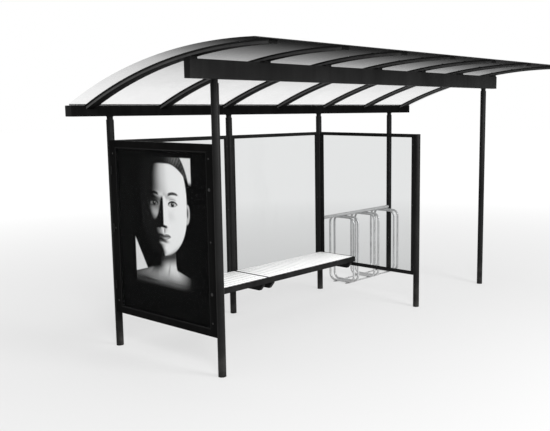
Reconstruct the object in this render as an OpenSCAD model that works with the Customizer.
// Three-bay bus shelter: round posts, two cross beams, seven curved ribs
// under one bent roof sheet, a poster case at the left end, glazed rear
// bays, a glazed partition, a slatted bench and a cycle rack.
// All sizes are in millimetres. +Z is up and the feet stand on Z = 0.
// +X runs along the shelter, with the poster case at the -X end.
// +Y points to the rear wall, so people walk in from -Y.
// The origin is on the floor below the middle of the whole shelter.

/* [Layout] */
// spacing of the posts along the rear row
bay = 1500; // [1200:10:1900]
// distance from the rear row to the front row of posts
row_depth = 1475; // [1200:5:1800]
// distance from the rear row to the front edge of the roof sheet
roof_reach = 2410; // [2000:10:2900]

/* [Posts] */
// outside diameter of every post
post_d = 70; // [56:1:84]
// diameter of the narrow neck under the beams
neck_d = 58; // [46:1:70]
// length of the neck
neck_h = 32; // [24:1:42]

/* [Beams] */
// height of the rear beam's underside above the floor
rear_under = 2225; // [2000:5:2600]
// height of the rear beam's section
rear_h = 100; // [80:1:120]
// front-to-back thickness of the rear beam
rear_t = 100; // [80:1:120]
// how far the rear beam runs past the end posts
rear_over = 425; // [340:5:510]
// height of the front beam's underside above the floor
front_under = 2535; // [2300:5:2900]
// height of the front beam's section
front_h = 156; // [125:1:187]
// front-to-back thickness of the front beam
front_t = 72; // [60:1:86]
// how far the front beam runs past the end posts
front_over = 280; // [225:5:335]

/* [Ribs] */
// radius of the curve along each rib's underside
rib_r = 5532; // [4600:4:6640]
// width of a rib
rib_w = 90; // [72:1:108]
// depth of a rib's section
rib_h = 30; // [24:1:36]
// how far the ribs stop behind the roof's front edge
rib_back = 30; // [20:1:60]
// least height of the saddles between the front beam and the ribs
saddle_h = 6; // [5:0.5:8]

/* [Roof] */
// thickness of the bent roof sheet
sheet_t = 6; // [5:0.5:8]
// how far the sheet runs past the end ribs
sheet_over = 180; // [150:5:220]
// thickness of the trim along the front and rear edges
trim_t = 12; // [10:0.5:15]

/* [Glazing] */
// height of the top of every glazed frame
rail_top = 2000; // [1700:10:2150]
// height of the bottom of the glazed frames
frame_foot = 372; // [300:2:440]
// face width of the glazed frames' bars
bar_w = 30; // [24:1:36]
// depth of the glazed frames' bars
bar_t = 30; // [24:1:36]
// thickness of the glass
glass_t = 8; // [6:0.5:10]

/* [Poster case] */
// height of the case's bottom edge
case_foot = 345; // [280:5:410]
// depth of the case
case_t = 64; // [52:1:76]
// face width of the case's bars
case_bar = 60; // [48:1:72]
// thickness of the board that carries the poster
board_t = 12; // [9:0.5:15]
// thickness of each cover glass
cover_t = 5; // [4:0.5:6]
// how far each cover glass lies behind the frame's face
cover_in = 5; // [3:0.5:7]

/* [Bench] */
// height of the seat
seat_top = 490; // [400:5:590]
// front-to-back depth of the seat with its rails
seat_depth = 550; // [450:5:650]
// thickness of the slatted seat
seat_t = 22; // [18:1:27]
// height of the rails around the seat
seat_rail_h = 60; // [50:1:72]
// thickness of the front and rear rails
seat_rail_t = 25; // [20:1:30]
// thickness of the end plates
seat_end_t = 12; // [10:0.5:14]
// distance of the seat from the posts and from the poster case
seat_gap = 5; // [3:0.5:8]
// distance of each bracket arm from its post
arm_off = 72; // [60:1:86]
// width of a bracket arm
arm_w = 40; // [32:1:48]
// height of a bracket arm
arm_h = 80; // [64:1:96]
// length of the slanted cut at an arm's front end
arm_cut = 50; // [40:1:60]
// height of an arm's blunt front end
arm_nose = 20; // [12:1:30]
// how far a bracket's block reaches under the seat
block_in = 20; // [12:1:30]

/* [Cycle rack] */
// height of the rack's top rail above the floor
rack_rail_z = 910; // [760:5:1000]
// diameter of the rack's top rail
rack_rail_d = 42; // [34:1:50]
// diameter of the hoop tube
hoop_d = 28; // [22:1:33]
// front-to-back size of a hoop over the tube centres
hoop_depth = 400; // [330:5:480]
// radius of a hoop's bends
hoop_bend = 80; // [65:1:96]
// wheel gap between the two tubes of a pair, centre to centre
hoop_gap = 90; // [75:1:104]
// distance from the partition post to the first pair
hoop_first = 490; // [410:5:500]
// spacing of the pairs
hoop_pitch = 450; // [360:5:455]
// width of the flat bars under the hoops
base_w = 40; // [32:1:48]
// thickness of the flat bars under the hoops
base_t = 8; // [6:0.5:10]

/* [Hidden] */
eps = 0.3;              // seating gap between neighbouring pieces
big = 400;              // overshoot of the cutting bodies
saddle_in = 6;          // inset of a saddle from its rib's and beam's edges
rib_drop = 3;           // height of the rear beam above the ribs' rear ends
post_fn = 64;
rail_fn = 48;
tube_fn = 32;
bend_fn = 96;
arc_fn = 360;
bays = 3;
posts = bays + 1;
ribs = 7;
pairs = 3;
post_r = post_d / 2;
fit_r = post_r + eps;   // radius of the scribed ends beside a post
back_reach = hoop_depth / 2 + hoop_d / 2;
rear_y = (roof_reach + trim_t - back_reach) / 2;
front_y = rear_y - row_depth;
left_x = -bay * bays / 2;
part_x = left_x + 2 * bay;      // the partition's post line
rear_top = rear_under + rear_h;
front_top = front_under + front_h;
beam_face = rear_y - rear_t / 2;
rear_len = bay * bays + 2 * rear_over;
front_len = bay * bays + 2 * front_over;
sheet_len = front_len + 2 * sheet_over;
rib_pitch = (front_len - rib_w) / (ribs - 1);
function post_x(i) = left_x + bay * i;
function rib_x(i) = -front_len / 2 + rib_w / 2 + rib_pitch * i;

// The ribs' curve passes the rear beam's face and the front beam's rear edge.
p1 = [beam_face, rear_top - rib_h - rib_drop];
p2 = [front_y + front_t / 2, front_top + saddle_h];
chord = p2 - p1;
half = norm(chord) / 2;
drop = sqrt(rib_r * rib_r - half * half);
arc_y = (p1[0] + p2[0]) / 2 - chord[1] / (2 * half) * drop;
arc_z = (p1[1] + p2[1]) / 2 + chord[0] / (2 * half) * drop;
function under(y) = arc_z + sqrt(rib_r * rib_r - (y - arc_y) * (y - arc_y));
roof_front = rear_y - roof_reach;
top_r = rib_r + rib_h + eps;
// angles from straight up, positive towards the rear
function lean(y, r) = asin((y - arc_y) / r);

arm_z = seat_top - seat_rail_h - eps - arm_h;
seat_rear = rear_y - post_r - seat_gap;
seat_front = seat_rear - seat_depth;
seat_1a = left_x + case_t / 2 + seat_gap;
seat_1b = left_x + bay - eps / 2;
seat_2a = left_x + bay + eps / 2;
seat_2b = part_x - bar_t / 2 - seat_gap;
arm_reach = arm_off + arm_w / 2;
hoop_top = rack_rail_z - rack_rail_d / 2 - eps - hoop_d / 2;
hoop_low = base_t + eps + hoop_d / 2;

steel = [0.10, 0.10, 0.11];
zinc = [0.70, 0.71, 0.72];
smoke = [0.45, 0.46, 0.48, 0.5];
clear = [0.80, 0.83, 0.84, 0.35];

// ---- posts ----

// A full-height post with a narrow neck that meets its beam.
module post(x, y, under_z) {
  color(steel) translate([x, y, 0]) union() {
    cylinder(d = post_d, h = under_z - neck_h, $fn = post_fn);
    cylinder(d = neck_d, h = under_z, $fn = post_fn);
  }
}

module post_rear_1() post(post_x(0), rear_y, rear_under);
module post_rear_2() post(post_x(1), rear_y, rear_under);
module post_rear_3() post(post_x(2), rear_y, rear_under);
module post_rear_4() post(post_x(3), rear_y, rear_under);
module post_front_left() post(post_x(0), front_y, front_under);
module post_front_right() post(post_x(3), front_y, front_under);

// The partition's front post stops at the top of the glass.
module post_partition() {
  color(steel) translate([part_x, front_y, 0])
    cylinder(d = post_d, h = rail_top, $fn = post_fn);
}

// Removes the round shapes of two posts from whatever stands between them.
module scribe(ax, ay, bx, by) {
  difference() {
    children();
    translate([ax, ay, -big]) cylinder(r = fit_r, h = front_top + 2 * big, $fn = post_fn);
    translate([bx, by, -big]) cylinder(r = fit_r, h = front_top + 2 * big, $fn = post_fn);
  }
}

// ---- beams and ribs ----

module rear_beam() {
  color(steel) translate([-rear_len / 2, beam_face, rear_under])
    cube([rear_len, rear_t, rear_h]);
}

module front_beam() {
  color(steel) translate([-front_len / 2, front_y - front_t / 2, front_under])
    cube([front_len, front_t, front_h]);
}

// A band bent about the roof's centre line, from lean angle a0 to a1.
module bent(r, t, len, a0, a1) {
  translate([-len / 2, arc_y, arc_z]) rotate([0, 90, 0])
    rotate([0, 0, 180 - a1]) rotate_extrude(angle = a1 - a0, $fn = arc_fn)
      translate([r, 0]) square([t, len]);
}

module rib(i) {
  color(steel) translate([rib_x(i), 0, 0]) difference() {
    bent(rib_r, rib_h, rib_w, lean(roof_front + rib_back, rib_r),
         lean(beam_face + rear_t / 2, rib_r));
    translate([-rib_w, beam_face - eps, rear_under - big])
      cube([2 * rib_w, big, rear_h + 2 * big]);
  }
}

module rib_1() rib(0);
module rib_2() rib(1);
module rib_3() rib(2);
module rib_4() rib(3);
module rib_5() rib(4);
module rib_6() rib(5);
module rib_7() rib(6);

// Wedges that fill the space between the front beam and each rib.
module rib_saddles() {
  y0 = front_y - front_t / 2 + saddle_in;
  y1 = front_y + front_t / 2 - saddle_in;
  color(steel) for (i = [0 : ribs - 1])
    translate([rib_x(i) - rib_w / 2 + saddle_in, 0, 0]) rotate([90, 0, 90])
      linear_extrude(rib_w - 2 * saddle_in)
        polygon([[y0, front_top + eps], [y1, front_top + eps],
                 [y1, under(y1) - eps], [y0, under(y0) - eps]]);
}

// ---- roof ----

module roof_sheet() {
  color(smoke) difference() {
    bent(top_r, sheet_t, sheet_len, lean(roof_front, top_r),
         lean(beam_face + rear_t / 2, top_r));
    translate([-sheet_len, beam_face - eps, rear_under - big])
      cube([2 * sheet_len, big, rear_h + 2 * big]);
  }
}

// A plain edging strip that closes the sheet's front edge.
module roof_edge_front() {
  a = lean(roof_front, top_r);
  color(steel) translate([0, arc_y, arc_z]) rotate([-a, 0, 0])
    translate([-sheet_len / 2, -trim_t, top_r - eps])
      cube([sheet_len, trim_t - eps, sheet_t + 2 * eps]);
}

// A strip on the rear beam that closes the sheet's rear edge.
module roof_edge_rear() {
  color(steel) translate([-rear_len / 2, beam_face, rear_top + eps])
    cube([rear_len, 3 * trim_t, trim_t]);
}

// ---- glazed frames ----

// Four bars around a pane, drawn along X between two posts at x0 and x1.
module frame_bars(x0, x1, foot, top, w, t) {
  translate([x0, -t / 2, top - w]) cube([x1 - x0, t, w]);
  translate([x0, -t / 2, foot]) cube([x1 - x0, t, w]);
  translate([x0, -t / 2, foot + w + eps])
    cube([post_r + w, t, top - foot - 2 * w - 2 * eps]);
  translate([x1 - post_r - w, -t / 2, foot + w + eps])
    cube([post_r + w, t, top - foot - 2 * w - 2 * eps]);
}

// The space inside the bars, less the seating gap, t thick.
module pane(x0, x1, foot, top, w, t) {
  translate([x0 + post_r + w + eps, -t / 2, foot + w + eps])
    cube([x1 - x0 - 2 * (post_r + w + eps), t, top - foot - 2 * (w + eps)]);
}

module rear_frame(i) {
  color(steel) scribe(post_x(i), rear_y, post_x(i + 1), rear_y)
    translate([0, rear_y, 0])
      frame_bars(post_x(i), post_x(i + 1), frame_foot, rail_top, bar_w, bar_t);
}

module rear_glass(i) {
  color(clear) translate([0, rear_y, 0])
    pane(post_x(i), post_x(i + 1), frame_foot, rail_top, bar_w, glass_t);
}

module rear_frame_1() rear_frame(0);
module rear_frame_2() rear_frame(1);
module rear_glass_1() rear_glass(0);
module rear_glass_2() rear_glass(1);

// Turns a piece drawn along X so that it runs from the rear row to the front.
module crosswise(x) {
  translate([x, rear_y, 0]) rotate([0, 0, -90]) children();
}

module partition_frame() {
  color(steel) scribe(part_x, rear_y, part_x, front_y) crosswise(part_x)
    frame_bars(0, row_depth, frame_foot, rail_top, bar_w, bar_t);
}

module partition_glass() {
  color(clear) crosswise(part_x)
    pane(0, row_depth, frame_foot, rail_top, bar_w, glass_t);
}

// ---- poster case ----

module case_frame() {
  color(steel) difference() {
    scribe(left_x, rear_y, left_x, front_y) crosswise(left_x)
      frame_bars(0, row_depth, case_foot, rail_top, case_bar, case_t);
    // room for the rear bay's frame beside the same post
    translate([left_x - case_t, rear_y - bar_t / 2 - eps, 0])
      cube([2 * case_t, bar_t, rear_under]);
  }
}

module case_board() {
  color([0.05, 0.05, 0.05]) crosswise(left_x)
    pane(0, row_depth, case_foot, rail_top, case_bar, board_t);
}

module case_cover(side) {
  color(clear) translate([side * (case_t / 2 - cover_in - cover_t / 2), 0, 0])
    crosswise(left_x)
      pane(0, row_depth, case_foot, rail_top, case_bar, cover_t);
}

module case_glass_out() case_cover(-1);
module case_glass_in() case_cover(1);

// ---- bench ----

// Rails and end plates around one seat that runs from x0 to x1.
module bench_frame(x0, x1) {
  z0 = seat_top - seat_rail_h;
  color(steel) {
    translate([x0, seat_front, z0]) cube([x1 - x0, seat_rail_t, seat_rail_h]);
    // the rear rail lies under the slats
    translate([x0 + seat_end_t + eps, seat_rear - seat_rail_t, z0])
      cube([x1 - x0 - 2 * (seat_end_t + eps), seat_rail_t,
            seat_rail_h - seat_t - eps]);
    for (x = [x0, x1 - seat_end_t])
      translate([x, seat_front + seat_rail_t + eps, z0])
        cube([seat_end_t, seat_depth - seat_rail_t - eps, seat_rail_h]);
  }
}

module bench_seat(x0, x1) {
  color([0.92, 0.92, 0.90])
    translate([x0 + seat_end_t + eps, seat_front + seat_rail_t + eps,
               seat_top - seat_t])
      cube([x1 - x0 - 2 * (seat_end_t + eps),
            seat_depth - seat_rail_t - eps, seat_t]);
}

module bench_frame_1() bench_frame(seat_1a, seat_1b);
module bench_frame_2() bench_frame(seat_2a, seat_2b);
module bench_seat_1() bench_seat(seat_1a, seat_1b);
module bench_seat_2() bench_seat(seat_2a, seat_2b);

// One arm under the seat with its front end cut on a slant.
module arm(x) {
  y0 = seat_front + seat_rail_t;
  y1 = seat_rear;
  translate([x - arm_w / 2, 0, 0]) rotate([90, 0, 90]) linear_extrude(arm_w)
    polygon([[y1, arm_z], [y1, arm_z + arm_h], [y0, arm_z + arm_h],
             [y0, arm_z + arm_h - arm_nose], [y0 + arm_cut, arm_z]]);
}

// A block from lo to hi beside post i that hugs the post's front, with an arm
// on each side listed.
module bench_bracket(i, lo, hi, sides) {
  x = post_x(i);
  y0 = seat_rear - block_in;
  color(steel) difference() {
    union() {
      translate([x + lo, y0, arm_z])
        cube([hi - lo, rear_y - bar_t / 2 - eps - y0, arm_h]);
      for (s = sides) arm(x + s * arm_off);
    }
    translate([x, rear_y, 0]) cylinder(r = fit_r, h = seat_top + big, $fn = post_fn);
  }
}

module bench_bracket_1() bench_bracket(0, case_t / 2 + eps, arm_reach, [1]);
module bench_bracket_2() bench_bracket(1, -arm_reach, arm_reach, [-1, 1]);
module bench_bracket_3() bench_bracket(2, -arm_reach, -bar_t / 2 - eps, [-1]);

// ---- cycle rack ----

module rack_rail() {
  color(zinc) scribe(post_x(2), rear_y, post_x(3), rear_y)
    translate([post_x(2), rear_y, rack_rail_z]) rotate([0, 90, 0])
      cylinder(d = rack_rail_d, h = bay, $fn = rail_fn);
}

// A quarter bend of the hoop tube, centred at the origin of the YZ plane.
module bend(start) {
  rotate([90, 0, 90]) rotate([0, 0, start]) rotate_extrude(angle = 90, $fn = bend_fn)
    translate([hoop_bend, 0]) circle(d = hoop_d, $fn = tube_fn);
}

// One closed hoop of bent tube in the YZ plane at x.
module hoop(x) {
  c = hoop_depth / 2 - hoop_bend;
  zt = hoop_top - hoop_bend;
  zl = hoop_low + hoop_bend;
  translate([x, rear_y, 0]) union() {
    translate([0, c, zt]) bend(0);
    translate([0, -c, zt]) bend(90);
    translate([0, -c, zl]) bend(180);
    translate([0, c, zl]) bend(270);
    for (s = [-1, 1]) translate([0, s * hoop_depth / 2, zl])
      cylinder(d = hoop_d, h = zt - zl, $fn = tube_fn);
    for (z = [hoop_low, hoop_top]) translate([0, c, z]) rotate([90, 0, 0])
      cylinder(d = hoop_d, h = 2 * c, $fn = tube_fn);
  }
}

module hoop_pair(i) {
  x = part_x + hoop_first + hoop_pitch * i;
  color(zinc) for (s = [-1, 1]) hoop(x + s * hoop_gap / 2);
}

module rack_hoops_1() hoop_pair(0);
module rack_hoops_2() hoop_pair(1);
module rack_hoops_3() hoop_pair(2);

// Two flat bars on the floor that tie the hoops together.
module rack_base() {
  x0 = part_x + hoop_first - hoop_gap / 2 - base_w;
  len = hoop_pitch * (pairs - 1) + hoop_gap + 2 * base_w;
  color(zinc) for (s = [-1, 1])
    translate([x0, rear_y + s * hoop_depth / 4 - base_w / 2, 0])
      cube([len, base_w, base_t]);
}

post_rear_1();
post_rear_2();
post_rear_3();
post_rear_4();
post_front_left();
post_front_right();
post_partition();
rear_beam();
front_beam();
rib_1();
rib_2();
rib_3();
rib_4();
rib_5();
rib_6();
rib_7();
rib_saddles();
roof_sheet();
roof_edge_front();
roof_edge_rear();
rear_frame_1();
rear_frame_2();
rear_glass_1();
rear_glass_2();
partition_frame();
partition_glass();
case_frame();
case_board();
case_glass_out();
case_glass_in();
bench_frame_1();
bench_frame_2();
bench_seat_1();
bench_seat_2();
bench_bracket_1();
bench_bracket_2();
bench_bracket_3();
rack_rail();
rack_hoops_1();
rack_hoops_2();
rack_hoops_3();
rack_base();
